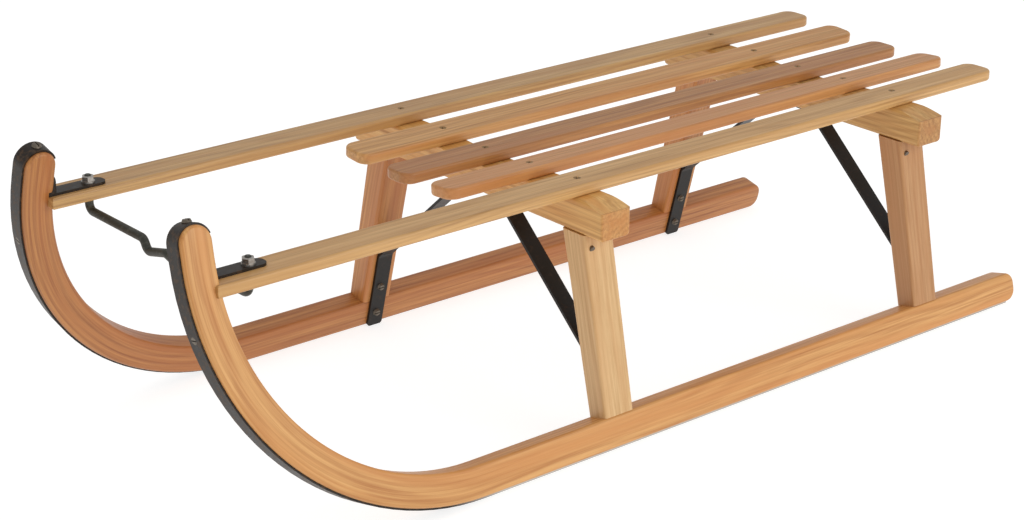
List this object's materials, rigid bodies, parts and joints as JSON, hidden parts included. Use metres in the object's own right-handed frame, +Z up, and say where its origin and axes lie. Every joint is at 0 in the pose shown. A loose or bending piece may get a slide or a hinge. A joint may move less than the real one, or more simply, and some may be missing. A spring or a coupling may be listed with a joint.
{
  "type": "wooden toboggan",
  "caption": "Slatted wooden sledge with bent horned runners, splayed posts, hollowed crossbars, steel strips and stays, and a front pull rod.",
  "frame": {"origin": "centre of the sledge's footprint, on the ground that the runner strips stand on", "axes": "+X forward to the horns, +Y to the left, +Z up"},
  "size_m": [0.9999, 0.409, 0.3018],
  "materials": {
    "runner_wood": "clear-lacquered bent ash, warm honey",
    "post_wood": "clear-lacquered ash, pale",
    "crossbar_wood": "clear-lacquered ash",
    "slat_wood": "clear-lacquered ash, beige brown",
    "strip_steel": "black-coated flat steel, worn",
    "stay_steel": "black paint on flat steel, satin",
    "bracket_steel": "dark-coated steel",
    "rod_steel": "dark grey coated round steel",
    "zinc_steel": "zinc-plated, dull",
    "screw_steel": "darkened steel",
    "brassed_steel": "yellow-passivated zinc on steel, dulled"
  },
  "bodies": {
    "root": {"angle_bracket_left": "bracket_steel", "angle_bracket_right": "bracket_steel", "crossbar_front": "crossbar_wood", "crossbar_rear": "crossbar_wood", "crown_screws": "screw_steel", "horn_screws": "screw_steel", "post_front_left": "post_wood", "post_front_right": "post_wood", "post_nails": "screw_steel", "post_rear_left": "post_wood", "post_rear_right": "post_wood", "pull_rod": "rod_steel", "rod_nuts": "zinc_steel", "rod_washers": "zinc_steel", "runner_left": "runner_wood", "runner_right": "runner_wood", "runner_strip_left": "strip_steel", "runner_strip_right": "strip_steel", "slat_centre": "slat_wood", "slat_inner_left": "slat_wood", "slat_inner_right": "slat_wood", "slat_outer_left": "slat_wood", "slat_outer_right": "slat_wood", "slat_screws": "brassed_steel", "stay_foot_screws": "screw_steel", "stay_front_left": "stay_steel", "stay_front_right": "stay_steel", "stay_rear_left": "stay_steel", "stay_rear_right": "stay_steel", "stay_top_screws": "screw_steel", "strip_screws": "screw_steel"}
  },
  "joints": []
}
